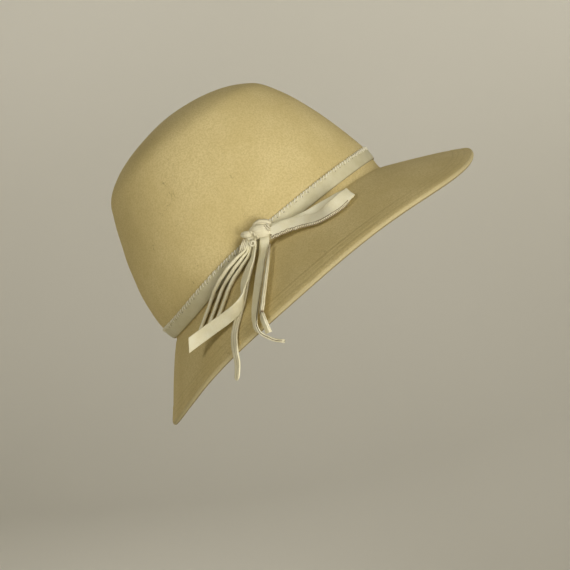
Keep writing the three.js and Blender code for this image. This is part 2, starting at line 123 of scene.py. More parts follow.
TAILS = tables(
    STRAP_COLUMNS,
    tail_flared=(
        (-12.2, 5, 7, 3.6, 0, 66), (-12.4, -2.5, 7.6, 4.5, 0, 68), (-13.6, -10.2, 9.4, 6.5, -8, 68),
        (-16.1, -16.6, 9.4, 8, -14, 66), (-18.2, -23.2, 9.8, 8.8, -14, 64), (-19.1, -28, 10.4, 8.8, -14, 69),
        (-19.2, -32.5, 11, 8.8, -12, 80), (-19.4, -36.2, 11.2, 8.8, -14, 95),
        (-20.8, -39.8, 12, 8.8, -24, 118), (-23, -43.4, 12.6, 8.8, -34, 140),
        (-26.2, -47, 13, 8.8, -43, 160), (-32, -51.6, 14, 8.8, -51, 174), (-38.7, -56.4, 17, 8.8, -54, 180),
        (-45.6, -61.4, 21.4, 8.8, -53, 180), (-51.7, -65.9, 28.2, 8.8, -52, 180),
        (-56.8, -69.7, 35.2, 8.8, -52, 180),
    ),
    tail_long=(
        (-11.4, 5, 4.4, 2.4, 0, 52), (-11.9, -3, 3.6, 2.6, 0, 52), (-14.8, -14.5, 3.6, 5, 0, 50),
        (-18, -26.5, 3.2, 6, -8, 50), (-19.3, -35, 3.2, 6, -12, 50), (-20.9, -42.5, 3.2, 6, -16, 52),
        (-23.2, -52, 3.2, 6, -16, 54), (-24.8, -59, 3.4, 6, -8, 56), (-25, -65.5, 4.2, 6, 2, 56),
        (-24, -72, 5.2, 6, 8, 54), (-22.8, -79.5, 7, 5.6, 6, 50), (-22.7, -86, 9.5, 5, -2, 50),
        (-23.3, -91.5, 12, 4, -6, 50),
    ),
    tail_curled=(
        (-5, 6.5, 7.4, 6.2, 0, 0), (-5.6, -0.4, 6, 6.8, 0, 20), (-6.2, -5.5, 4.2, 7, 0, 42),
        (-7, -10.2, 3.4, 7, 0, 49), (-8.2, -18.4, 3.1, 7, 0, 51), (-9.1, -26, 3.1, 7, 0, 52),
        (-10.3, -36, 3.1, 7.2, 0, 58), (-11.1, -45, 3.6, 7.4, 0, 67), (-11, -51, 4.6, 7.8, 0, 75),
        (-9.8, -56, 6.2, 8, 25, 82), (-7.3, -59.6, 7.6, 8.2, 50, 86), (-3.3, -62, 8.6, 8.5, 62, 88),
        (1.6, -64, 9.5, 8.5, 75, 88), (7.8, -64.7, 10, 8.5, 85, 88),
    ),
    tail_kinked=(
        (-1.7, -1, 7.2, 2.4, 0, 84), (-2.8, -11, 7.6, 4, 0, 84), (-3.9, -21, 7.8, 5, 0, 84),
        (-5, -31, 7.8, 5.5, 0, 84), (-5.9, -40, 8, 6, 0, 84), (-6.5, -46.8, 8, 6, 6, 80),
        (-4.6, -52.4, 6.6, 6, 22, 66), (-1.6, -59.4, 7.6, 6, 24, 60),
    ),
    tail_edge_1=(
        (-16.9, 1.8, 5.8, 2.4, -50, 90), (-18.9, -4.4, 5.4, 3.6, -45, 90), (-25.3, -10.7, 5.6, 5, -42, 90),
        (-32.6, -19.3, 6, 5.5, -38, 90), (-39.4, -30.2, 6, 5.5, -30, 90), (-43.6, -41.3, 5, 5.5, -22, 90),
        (-46.4, -49, 4.6, 5.5, -20, 90), (-50.9, -60.8, 4.4, 5.5, -20, 90),
    ),
    tail_edge_2=(
        (-16.1, 1.2, 5.8, 2.4, -50, 90), (-17.4, -5.4, 5.4, 3.6, -45, 90), (-20.3, -9.2, 5.2, 4.5, -42, 90),
        (-25.8, -16.5, 5.4, 5.5, -38, 90), (-30.8, -24, 5.2, 5.5, -34, 90), (-35, -31.5, 4.8, 5.5, -28, 90),
        (-39.2, -43, 4.6, 5.5, -20, 90), (-44.6, -58, 4.4, 5.5, -20, 90),
    ),
    tail_edge_3=(
        (-15.2, 0.6, 5.4, 2.4, -50, 90), (-15.8, -6.3, 5, 3.2, -45, 90), (-21.1, -15.4, 4.8, 5, -36, 90),
        (-26, -22.8, 4.6, 5.5, -30, 90), (-30, -30.4, 4.4, 5.5, -26, 90), (-33.7, -41.3, 4.4, 5.5, -18, 90),
        (-37.5, -51.5, 4.4, 5.5, -18, 90),
    ),
)
TAIL_SEED = 20
# Painted shade: sunk darkens an edge strip towards the felt, and root darkens a strap near its root.
EDGE_STRIP = dict(thick=2.3, sunk=0.75)
STRAP_FORMS = dict(
    tail_flared=dict(thick=1.1, slant=-36),
    tail_long=dict(slit=0.3, ridges=2, rounding=2.2, root=0.3),
    tail_curled=dict(slit=1, thick=1.9),
    tail_kinked=dict(slit=0.4, thick=2.5, ridges=3, kink=5.1, root=0.6),
    tail_edge_1=EDGE_STRIP,
    tail_edge_2=EDGE_STRIP,
    tail_edge_3=EDGE_STRIP,
)
# The tones are the strengths of painted shade in slits, in ridges' valleys and at kinks.
STRAP = Form(
    steps=14, dome=0.15, ridge=0.3, uneven=0.12, uneven_length=9, blunt=0.97,
    kink_length=1.3, kink_waist=0.25, kink_thin=0.3, slant_run=14, root_run=24, sunk_run=(-0.5, 0.6),
    slit_tone=0.85, ridge_tone=0.3, kink_tone=0.95,
)
SLIT = Form(depth=0.9, width=0.12, dark=0.3)

SEAM = Form(
    steps=40, points=8, pitch=1.3, waist=0.55, swell=0.45, gap_tone=0.8,
    wobble=0.45, wobble_length=3, wobble_seed=8, loose=(0.45, 0.9), gap=(0.25, 0.6),
)
# A line's tone is painted shade: the dark line inside the bead and the dark dots outside it.
SEAMS = table(
    "inset off radius tone", (0.95, 0.75, 0.3, 0.85), (0.1, 0.35, 0.62, 0), (-0.55, -0.1, 0.42, 0.7)
)

KNOT_ROLLS = tables(
    "x z lift width thick lean",
    lobe=(
        (-13.5, 11.8, 3.4, 1.6, 2, 135), (-11.6, 13.5, 5, 3, 3.8, 125), (-9, 14.6, 5.8, 3.8, 4.6, 105),
        (-6, 14.8, 6, 4.2, 4.8, 88), (-3.2, 14.5, 5.4, 3.8, 4.4, 80), (-1.6, 14.3, 4.2, 2.4, 3, 75),
    ),
    wrap=(
        (-14.6, 6.4, 5.8, 4.4, 3, 112), (-11.8, 7.4, 7.4, 8, 4, 112), (-8.2, 8.2, 8.2, 9.4, 4.4, 110),
        (-4.8, 8.8, 7.8, 8.6, 4, 108), (-2.2, 9, 6.4, 6.4, 2.6, 106),
    ),
    roll=(
        (-21, 5.6, 4.6, 1.6, 2, 80), (-20, 5.8, 5.8, 3.8, 4.2, 84), (-17.8, 6.1, 7, 4.8, 5.4, 90),
        (-15.8, 6.2, 7.2, 4.6, 5.2, 92), (-14.2, 6.4, 6.2, 3, 3.6, 95),
    ),
    heart=(
        (-17, 3.4, 4.6, 5, 4.4, 130), (-11.5, 7.5, 5.6, 9.5, 6, 122), (-6.5, 10.5, 5.6, 8, 6, 115),
    ),
    gather=(
        (-16, 3.8, 4.2, 4.6, 3, -15), (-16.6, -0.8, 4.4, 5.6, 3.2, -25), (-17.5, -5.4, 4.6, 5.4, 2.6, -35),
    ),
)
# The tones here are painted shade laid over the whole roll.
KNOT_FORMS = dict(
    lobe=dict(tone=0.18),
    wrap=dict(pleats=17, fold=0.018),
    roll=dict(pleats=3, fold=0.03),
    heart=dict(),
    gather=dict(pleats=9, fold=0.04, tone=0.15),
)
ROLL = Form(square=0.85, twist=3, sway=1.5, sways=5, pleat_tone=6, pleat_start=0.6, flank_run=0.75)
WRINKLES = table("wavelength depth", (5, 0.1), (1.8, 0.07))
# A fold's tone is painted shade over it; the last two folds are dark spots of painted shade.
FOLDS = table(
    "x z x_end z_end lift width tone",
    (-4.7, 13.6, -1.2, 10.2, 8.8, 1.5, 0.1), (-4.9, 11.6, -1.7, 8.7, 9.8, 1.5, 0.1),
    (-15.4, 9, -13.2, 5.2, 9.2, 1.8, 0.1), (-13.6, 8.3, -11, 4.2, 10, 1.7, 0.1),
    (-12, 7.2, -9.4, 3.2, 10.2, 1.6, 0.1), (-19.8, 3.2, -23.4, -8, 5.6, 1.2, 0.1),
    (-18.8, 3, -22, -7.6, 6, 1.1, 0.1), (-17.9, 3, -20.4, -7.4, 6.2, 1.1, 0.1),
    (-5.8, 12, -5.1, 11.4, 9.3, 0.8, 0.95), (-1.5, 6.3, -0.3, 5.2, 9.3, 1.1, 0.9),
)
FOLD = Form(rows=5, tip=0.45, arch=1.4, seed=40)
FOLD_FORM = dict(steps=8, points=16, flank=0.8, deep=0.85)
EYE = Form(
    x=-13.5, z=0.2, lift=8.4, rise=0.6, radius=2.2, inner=0.8, strip=1.2,
    start=150, sweep=450, rows=14, seed=60,
)
EYE_FORM = dict(steps=5, points=14)


# Colours, as eight-bit values of a screen, how strongly they are laid on, and grain, in millimetres

COLOURS = dict(
    felt=(219, 200, 142), felt_pale=(229, 211, 155), felt_flock=(200, 180, 120),
    felt_speck=(120, 98, 58), felt_hair=(128, 104, 60), felt_stitch=(160, 138, 86),
    # The rim's lip colour is a greyer tone, darkened as painted shade, and the colour under it is painted
    # shade.
    felt_lip_grey_painted_shade=(188, 176, 138), felt_under_painted_shade=(104, 88, 52),
    leather=(243, 236, 201), leather_pale=(250, 246, 218), leather_grain=(229, 219, 178),
    band=(214, 207, 169), band_pale=(222, 216, 183), band_grain=(206, 195, 154),
    # The crease colour is painted shade, laid on by the pieces' shade attribute, and the hole colour is
    # painted shade in the band's needle holes.
    hole=(92, 72, 40), crease=(106, 72, 24),
    thread=(240, 234, 208), thread_pale=(252, 249, 234),
    wall=(212, 209, 197), wall_pale=(222, 219, 208),
)
LAYERS = dict(
    felt_flock=0.6, felt_speck=0.45, felt_hair=0.45, felt_stitch=0.13, felt_lip_grey_painted_shade=0.7, felt_under_painted_shade=0.6,
    leather_grain=0.2, band_grain=0.25, hole=0.75,
)
FELT_GRAIN = Form(cloud=38, flock=1.2, nap=0.5, fibre=2.4, speck=9, speck_patch=30, hair=11, hair_patch=16)
LEATHER_GRAIN = Form(cloud=9, pebble=0.8, grain=0.5, crease=5, hole_patch=7)
THREAD_TWIST = 0.4
WALL_GRAIN = Form(cloud=900, grain=3)

# Runs over which a mark comes or goes, and the size of a speck as a share of the specks' spacing
CLOUD = (0.3, 0.7)
RIM_LINE = (0.15, 0.75)
# Runs of the painted shade on the rim's lip and on the underside of its edge
LIP_RUN = (-2, 1.2)
UNDER_RUN = (-6.5, -4)
SPECK_SIZE = 0.045


# The stage, in metres

BACKDROP = Form(radius=2.4, floor=-0.62, bend=0.9, height=3.2, columns=96, bend_rows=17)
FLOOR_RINGS = [0.02, 0.5, 1]
CAMERA = Form(place=(0.0087, -0.95, -0.0285), focal_pixels=1250, frame_pixels=570, sensor_mm=36)
LAMP_TINT = (1.0, 0.97, 0.92)
LAMPS = dict(
    left_front=dict(place=(-1.0, -1.3, 0.4), size=0.4, power=4.3),
    right_high=dict(place=(0.8, -1.2, 0.8), size=0.8, power=7.5),
    right_low=dict(place=(0.9, -1.3, -0.25), size=0.8, power=12.8),
    far_side=dict(place=(-0.4, 1.5, 0.5), size=0.8, power=6.5),
    wall_left=dict(place=(-0.5, 1.0, 1.1), size=0.5, power=5.3, aim=(-0.3, 2.4, 0.95)),
    wall_right=dict(place=(0.7, 1.0, 1.1), size=0.5, power=6.4, aim=(0.5, 2.4, 0.95)),
)


# Smooth values and the felt's own surface

def unit(vectors, least=1e-12):
    """Vectors scaled to length one."""
    return vectors / np.maximum(np.linalg.norm(vectors, axis=-1, keepdims=True), least)


def bell(value, width):
    """One at zero, falling smoothly to nothing over about twice a width."""
    return np.exp(-((value / width) ** 2))


def smooth(value, low, high):
    """Zero below low and one above high, with a level start and end."""
    share = np.clip((value - low) / (high - low), 0, 1)
    return share * share * (3 - 2 * share)


def catmull(rows, place):
    """A value between rows: the cubic that passes through the rows on each side of a place and leaves each
    with the slope between its neighbours, with the end rows repeated. Rows are one column, or one for each
    place."""
    last = len(rows) - 1
    low = np.clip(np.floor(place).astype(int), 0, last - 1)
    share = place - low

    def row(step):
        index = np.clip(low + step, 0, last)
        return rows[index] if rows.ndim == 1 else rows[index, np.arange(place.size)]

    a, b, c, d = (row(step) for step in (-1, 0, 1, 2))
    return b + 0.5 * share * (c - a + share * (2 * a - 5 * b + 4 * c - d + share * (3 * (b - c) + d - a)))


def ripple(points, wavelength, seed, waves=12):
    """A gentle unevenness from -1 to 1: the mean of plane waves of one wavelength in random directions."""
    draw = np.random.default_rng(seed)
    ways = unit(draw.normal(size=(waves, 3))) * TURN / wavelength
    phases = draw.uniform(0, TURN, waves)
    return np.sin(points @ ways.T + phases).mean(axis=-1) * np.sqrt(waves / 2)


def brim_at(column, azimuth):
    """A brim column at azimuths from the front: the cosine series that passes through every row."""
    rows = BRIM[column]
    last = len(rows) - 1
    order = np.arange(last + 1)
    half = np.where((order == 0) | (order == last), 0.5, 1)
    weights = half * (np.cos(np.outer(order, order) * np.pi / last) @ (half * rows)) * 2 / last
    return np.cos(np.outer(azimuth, order)) @ weights


def felt_profile(azimuth):
    """Rows of the felt's outer profile at each azimuth, from the rim to the tip: how far out of the base
    oval, how high, and how far forward. The brim's rows fall in a straight slope with a sag near the crown,
    and the crown's heights shrink or stretch to where the break sits. Where the break dips below that, the
    brim follows it, by the cube of how near the crown it is."""
    reach, drop, sag, sit, dip = (brim_at(name, azimuth) for name in BRIM)
    share = BRIM_SHARES[:, None]
    height = CROWN["height"][:, None]
    tip = CROWN["height"][-1]
    crown_out = np.repeat(CROWN["half_length"][:, None] - BASE, azimuth.size, axis=1)
    out = np.vstack([reach * share, crown_out])
    brim_up = sit - drop * share - sag * SAG_PEAK * share * (1 - share) ** 2 - dip * (1 - share) ** 3
    crown_up = sit + height * (tip - sit) / tip - np.where(height == 0, dip, 0)
    up = np.vstack([brim_up, crown_up])
    return out, up, np.concatenate([np.zeros(BREAK_ROW), CROWN["forward"]])


def felt_face(azimuth, place):
    """Points of the felt's outer face in the hat frame: an oval whose half length is the profile's, and
    whose half width is that of the base oval, widened by as much outside it and in proportion inside it."""
    out, up, forward = felt_profile(azimuth)
    out = catmull(out, place)
    half_width = BASE * FELT.oval + np.where(out > 0, out, out * FELT.oval)
    x = catmull(forward, place) + (BASE + out) * np.cos(azimuth)
    return np.stack([x, half_width * np.sin(azimuth), catmull(up, place)], axis=-1)


def felt_normal(azimuth, place, step=0.01):
    """Outward normals there: the cross product of small steps round the hat and up its profile."""
    place = np.minimum(place, PROFILE_END - 2 * step)
    around = felt_face(azimuth + step, place) - felt_face(azimuth - step, place)
    upward = felt_face(azimuth, place + step) - felt_face(azimuth, np.maximum(place - step, 0))
    return unit(np.cross(around, upward))


def place_at(azimuth, height, halvings=24):
    """Where the profile passes a height, halved down between the rim and the tip."""
    up = felt_profile(azimuth)[1]
    low = np.zeros(azimuth.size)
    high = np.full(azimuth.size, float(PROFILE_END))
    for _ in range(halvings):
        middle = (low + high) / 2
        below = catmull(up, middle) < height
        low = np.where(below, middle, low)
        high = np.where(below, high, middle)
    return low


def worn(points):
    """Hat frame to worn frame: a turn about the wearer's left-right axis that lifts the front."""
    x, y, z = np.moveaxis(points, -1, 0)
    return np.stack([x * np.cos(TILT) - z * np.sin(TILT), y, x * np.sin(TILT) + z * np.cos(TILT)], axis=-1)


def right_face(x, z, corrections=12):
    """The y of the felt on the wearer's right at x and z of the worn frame: the azimuth is corrected in
    turns until the oval at that height passes the point. Below the rim it is the rim's own."""
    front = x * np.cos(TILT) + z * np.sin(TILT)
    height = z * np.cos(TILT) - x * np.sin(TILT)
    azimuth = np.full(x.size, -np.pi / 2)
    for _ in range(corrections):
        place = place_at(azimuth, height)
        out, _, forward = felt_profile(azimuth)
        half_length = BASE + catmull(out, place)
        azimuth = -np.arccos(np.clip((front - catmull(forward, place)) / half_length, -1, 1))
    return felt_face(azimuth, place)[:, 1]


# Meshes from grids of points

def grid_faces(rows, columns, close_rows=False):
    """Four-sided faces between neighbouring rows of a grid whose columns close on themselves."""
    row = np.arange(rows if close_rows else rows - 1)[:, None]
    column = np.arange(columns)
    here, there = row * columns, ((row + 1) % rows) * columns
    beside = (column + 1) % columns
    return np.stack([here + column, here + beside, there + beside, there + column], axis=-1).reshape(-1, 4)


def grid_map(values, rows, columns):
    """A two-value map for the corners of grid_faces where both ways close, from values on a grid with one
    more row and column, so that the map doesn't run back at the seam."""
    row, column = np.arange(rows)[:, None], np.arange(columns)
    corners = [values[row + i, column + j] for i, j in ((0, 0), (0, 1), (1, 1), (1, 0))]
    return np.stack(corners, axis=2).reshape(-1, 2)


def pointed(rings, values):
    """A closed part from rings whose first and last have shrunk to one point each, with named values for
    its points."""
    rows, columns = rings.shape[:2]
    index = np.arange(rows * columns).reshape(rows, columns)
    index[0] = index[0, 0]
    index[-1] = index[-1, 0]
    used, faces = np.unique(index.ravel()[grid_faces(rows, columns)], return_inverse=True)
    kept = {name: value.ravel()[used] for name, value in values.items()}
    return {"points": rings.reshape(-1, 3)[used], "faces": faces.reshape(-1, 4), **kept}


def middle_ring(ring):
    """A ring shrunk to its middle."""
    return np.repeat(ring.mean(axis=0)[None, None], len(ring), axis=1)


def capped(rings, shade):
    """A closed part from rings, with each end closed to its middle."""
    whole = np.concatenate([middle_ring(rings[0]), rings, middle_ring(rings[-1])])
    none = np.zeros((1, rings.shape[1]))
    return pointed(whole, {"shade": np.vstack([none, shade, none])})


def volume(points, faces):
    """The signed volume of a closed mesh: the sum of the pyramids from the origin to its faces."""
    a, b, c = (points[faces[:, k]] for k in (0, 1, 2))
    d = points[faces[:, -1]]
    return (np.einsum("ij,ij->i", a, np.cross(b, c)) + np.einsum("ij,ij->i", a, np.cross(c, d))).sum()


def outward(part):
    """The part with its faces turned outwards, and their map with them."""
    if volume(part["points"], part["faces"]) >= 0:
        return part
    turned = {**part, "faces": part["faces"][:, ::-1]}
    if "map" in part:
        turned["map"] = part["map"].reshape(-1, 4, 2)[:, ::-1].reshape(-1, 2)
    return turned


def placed(name, data):
    """A new object in the scene."""
    made = bpy.data.objects.new(name, data)
    bpy.context.scene.collection.objects.link(made)
    return made


def piece(name, parts, finish, replaces=()):
    """One object from closed parts, each with points in millimetres in the worn frame, faces, and values for
    the points or the faces' corners. Faces look outwards, shading is smooth, and it rides on the hat."""
    parts = [outward(part) for part in parts]
    starts = np.cumsum([0] + [len(part["points"]) for part in parts])
    quads = np.vstack([part["faces"] + start for part, start in zip(parts, starts)])
    faces = [list(dict.fromkeys(face)) for face in quads.tolist()]
    mesh = bpy.data.meshes.new(name)
    mesh.from_pydata((np.vstack([part["points"] for part in parts]) * MM).tolist(), [], faces)
    for key in ("shade", "from_rim"):
        if key in parts[0]:
            mesh.attributes.new(key, "FLOAT", "POINT")
            values = np.concatenate([part[key] for part in parts]).astype(np.float32)
            mesh.attributes[key].data.foreach_set("value", values)
    if "map" in parts[0]:
        corners = np.vstack([part["map"] for part in parts]).astype(np.float32)
        mesh.uv_layers.new(name="map").data.foreach_set("uv", corners.ravel())
    mesh.polygons.foreach_set("use_smooth", np.ones(len(faces), bool))
    mesh.materials.append(finish)
    mesh.validate()
    made = placed(name, mesh)
    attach(made, "root")
    if replaces:
        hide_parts(*replaces)


# Finishes

def both_ways(operation):
    """An operator of a wire and its reflected form, as a Math node."""
    return (
        lambda wire, value: wire.maths(operation, wire, value),
        lambda wire, value: wire.maths(operation, value, wire),
    )


class Wire:
    """An output socket. Arithmetic on it adds Math nodes to its finish."""

    def __init__(self, finish, socket):
        self.finish = finish
        self.socket = socket

    def other(self, output):
        return Wire(self.finish, self.socket.node.outputs[output])

    def maths(self, operation, *values):
        return self.finish.node("ShaderNodeMath", {"operation": operation}, dict(enumerate(values)))

    __add__, __radd__ = both_ways("ADD")
    __sub__, __rsub__ = both_ways("SUBTRACT")
    __mul__, __rmul__ = both_ways("MULTIPLY")
    __truediv__, __rtruediv__ = both_ways("DIVIDE")
    __pow__, __rpow__ = both_ways("POWER")

    def __abs__(self):
        return self.maths("ABSOLUTE", self)

    def fraction(self):
        return self.maths("FRACT", self)

    def ramp(self, low, high):
        """Zero below low and one above high, with a level start and end."""
        settings = {"interpolation_type": "SMOOTHSTEP", "clamp": True}
        sockets = {"Value": self, "From Min": low, "From Max": high}
        return self.finish.node("ShaderNodeMapRange", settings, sockets)


def linear(colour):
    """A colour for a socket from its name, by the curve between a screen's values and light."""
    share = np.array(COLOURS[colour]) / 255
    value = np.where(share <= 0.04045, share / 12.92, ((share + 0.055) / 1.055) ** 2.4)
    return (*value.tolist(), 1.0)


class Finish:
    """A material whose nodes are made one by one and read from left to right."""

    def __init__(self, name):
        self.material = bpy.data.materials.new(name)
        self.material.use_nodes = True
        self.tree = self.material.node_tree
        self.tree.nodes.clear()
        self.where = self.node("ShaderNodeTexCoord", out="Object")

    def node(self, kind, settings=None, sockets=None, out=0):
        """A node of a kind, with its settings and then its sockets given as values or wires."""
        made = self.tree.nodes.new(kind)
        for key, value in (settings or {}).items():
            setattr(made, key, value)
        for key, value in (sockets or {}).items():
            if isinstance(value, Wire):
                self.tree.links.new(value.socket, made.inputs[key])
            else:
                made.inputs[key].default_value = value
        return Wire(self, made.outputs[out]) if len(made.outputs) else made

    def noise(self, size, detail=2.0, rough=0.5, warp=0.0):
        """A cloudy value from 0 to 1 with lumps of a size in millimetres."""
        sockets = {"Scale": 1 / (size * MM), "Detail": detail, "Roughness": rough, "Distortion": warp}
        return self.node("ShaderNodeTexNoise", {"noise_dimensions": "3D"}, {"Vector": self.where, **sockets})

    def cells(self, feature, spacing):
        """The distance to the nearest of scattered points, as a share of their spacing in millimetres."""
        return self.node("ShaderNodeTexVoronoi", {"feature": feature},
                         {"Vector": self.where, "Scale": 1 / (spacing * MM)})

    def attribute(self, name):
        return self.node("ShaderNodeAttribute", {"attribute_name": name}, out="Fac")

    def mix(self, share, first, second):
        """A colour between two, given as names or wires, by a share."""
        first, second = (linear(colour) if isinstance(colour, str) else colour for colour in (first, second))
        return self.node("ShaderNodeMix", {"data_type": "RGBA"}, {0: share, 6: first, 7: second}, out=2)

    def layer(self, colour, share, name):
        """A named colour laid over another by a share, at its own strength."""
        return self.mix(share * LAYERS[name], colour, name)

    def close(self, sockets, bumps):
        """The shader: a Principled BSDF with bumps of given heights in millimetres laid on each other."""
        normal = None
        for height, depth in bumps:
            inputs = {"Height": height, "Strength": 1.0, "Distance": depth * MM}
            if normal is not None:
                inputs["Normal"] = normal
            normal = self.node("ShaderNodeBump", {}, inputs)
        shader = self.node("ShaderNodeBsdfPrincipled", {}, {**sockets, "Normal": normal})
        self.node("ShaderNodeOutputMaterial", {}, {"Surface": shader})
        return self.material


def felt_finish():
    """Wool felt: a flocked, faintly cloudy straw colour with pressed fibres, dark specks, a few stray hairs,
    the darker stitch rows of the hem, a greyer lip at the rim darkened with painted shade, and painted shade
    on the underside of the edge."""
    felt = Finish("straw_felt")
    flock = felt.noise(FELT_GRAIN.flock, detail=4, rough=0.65)
    nap = felt.noise(FELT_GRAIN.nap, detail=2, rough=0.6)
    fibre = felt.noise(FELT_GRAIN.fibre, detail=3, rough=0.7, warp=2.2)
    colour = felt.mix(felt.noise(FELT_GRAIN.cloud, detail=3).ramp(*CLOUD), "felt", "felt_pale")
    colour = felt.layer(colour, flock.ramp(0.36, 0.66), "felt_flock")

    speck_size = felt.noise(FELT_GRAIN.speck_patch).ramp(0.35, 0.75) * SPECK_SIZE
    speck = 1 - (felt.cells("F1", FELT_GRAIN.speck) / (speck_size + 0.001)).ramp(0.6, 1.0)
    colour = felt.layer(colour, speck, "felt_speck")

    strand = felt.noise(FELT_GRAIN.hair, detail=1, warp=0.8)
    hair = (1 - abs(strand - 0.5).ramp(0.002, 0.006)) * felt.noise(FELT_GRAIN.hair_patch).ramp(0.6, 0.66)
    colour = felt.layer(colour, hair, "felt_hair")

    from_rim = felt.attribute("from_rim")
    rows = sum(1 - abs(from_rim - centre).ramp(*RIM_LINE) for centre in RIM_ROWS["from_rim"])
    colour = felt.layer(colour, rows, "felt_stitch")
    # Painted shade on the rim: the lip greyer and darker, and the underside of the edge darker still.
    colour = felt.layer(colour, 1 - from_rim.ramp(*LIP_RUN), "felt_lip_grey_painted_shade")
    colour = felt.layer(colour, 1 - from_rim.ramp(*UNDER_RUN), "felt_under_painted_shade")

    sockets = {"Base Color": colour, "Roughness": 0.93, "Specular IOR Level": 0.2}
    return felt.close(sockets, [(fibre, 0.22), (flock, 0.16), (nap, 0.07)])


def hide_grain(hide, name):
    """What both leathers have: a cloudy colour, pebbles in a darker one, and a fine grain."""
    cloud = hide.noise(LEATHER_GRAIN.cloud, detail=3)
    pebble = hide.cells("SMOOTH_F1", LEATHER_GRAIN.pebble)
    grain = hide.noise(LEATHER_GRAIN.grain, detail=3)
    colour = hide.mix(cloud.ramp(*CLOUD), name, name + "_pale")
    return cloud, pebble, grain, hide.layer(colour, pebble.ramp(0.2, 0.8), name + "_grain")


def leather_finish():
    """Soft ivory leather: fine grain, slight clouding, and painted shade in slits and folds, laid on by the
    shade attribute.
    """
    hide = Finish("ivory_leather")
    cloud, pebble, grain, colour = hide_grain(hide, "leather")
    crease = hide.noise(LEATHER_GRAIN.crease, detail=4, rough=0.6, warp=1.2)
    # Painted shade, by the shade attribute, in slits, folds, seams, kinks and where parts meet.
    shade = hide.attribute("shade")
    sockets = {
        "Base Color": hide.mix(shade, colour, "crease"),
        "Roughness": 0.4 + cloud * 0.15 + shade * 0.4,
        "Specular IOR Level": 0.5,
    }
    return hide.close(sockets, [(crease, 0.12), (pebble, 0.1), (grain, 0.04)])


def band_finish():
    """A duller leather with the needle holes of the overcast edge, read from the band's map: stitches along
    it, and millimetres down from its upper edge. Holes show in patches, darkened with painted shade, and the
    shade attribute lays painted shade on the lower edge."""
    hide = Finish("band_leather")
    cloud, pebble, grain, colour = hide_grain(hide, "band")
    spot = hide.node("ShaderNodeSeparateXYZ", {}, {0: hide.node("ShaderNodeUVMap", {"uv_map": "map"})})
    along = abs((spot / HOLE.every).fraction() - 0.5) * (HOLE.every * STITCH.pitch)
    down = abs(spot.other("Y") - STITCH.bite) * HOLE.stretch
    hole = 1 - ((along ** 2.0 + down ** 2.0) ** 0.5).ramp(HOLE.inner, HOLE.outer)
    hole = hole * hide.noise(LEATHER_GRAIN.hole_patch).ramp(0.34, 0.52)
    # The holes are darkened with painted shade.
    colour = hide.layer(colour, hole, "hole")
    # The shade attribute lays painted shade along the lower edge.
    sockets = {
        "Base Color": hide.mix(hide.attribute("shade"), colour, "crease"),
        "Roughness": 0.52 + cloud * 0.15,
        "Specular IOR Level": 0.4,
    }
    return hide.close(sockets, [(hole * -1.0, 0.25), (pebble, 0.12), (grain, 0.04)])


def thread_finish():
    """Pale cotton thread with a twist of darker flecks."""
    thread = Finish("pale_thread")
    twist = thread.noise(THREAD_TWIST, detail=2)
    colour = thread.mix(twist.ramp(0.35, 0.7), "thread", "thread_pale")
    return thread.close({"Base Color": colour, "Roughness": 0.7}, [(twist, 0.06)])


def wall_finish():
    """A matt, faintly cloudy pale paint."""
    wall = Finish("pale_wall")
    colour = wall.mix(wall.noise(WALL_GRAIN.cloud, detail=1), "wall", "wall_pale")
    grain = wall.noise(WALL_GRAIN.grain)
    return wall.close({"Base Color": colour, "Roughness": 0.9}, [(grain, 0.05)])


# The felt

def felt_rows(places, columns):
    """Points and normals of the outer face on a grid: a row for each place in the profile, and columns
    round the hat."""
    azimuth = np.arange(columns) * TURN / columns
    pairs = np.tile(azimuth, len(places)), np.repeat(places, columns)
    shape = (len(places), columns, 3)
    return felt_face(*pairs).reshape(shape), felt_normal(*pairs).reshape(shape)


def run_up(points):
    """Lengths run along a path, or up the columns of a grid, from its first row."""
    steps = np.linalg.norm(np.diff(points, axis=0), axis=-1)
    return np.concatenate([np.zeros_like(steps[:1]), np.cumsum(steps, axis=0)])


def felt_relief(points, from_rim):
    """How far the outer face stands off the plain profile: the hem's rise near the rim, less its shallow
    stitch rows, and a gentle hand-shaped unevenness away from it."""
    width, blend = FELT.hem_width, FELT.hem_blend
    within = 1 - smooth(from_rim, width - blend, width + blend)
    rise = FELT.hem_rise * within * smooth(from_rim, 0, FELT.hem_start)
    rows = sum(depth * bell(from_rim - centre, RIM_ROW_WIDTH) for centre, depth in zip(*RIM_ROWS.values()))
    ripples = zip(*FELT_RIPPLES.values())
    uneven = sum(depth * ripple(points, length, int(seed)) for length, depth, seed in ripples)
    return rise - rows + smooth(from_rim, *RIPPLE_START) * uneven


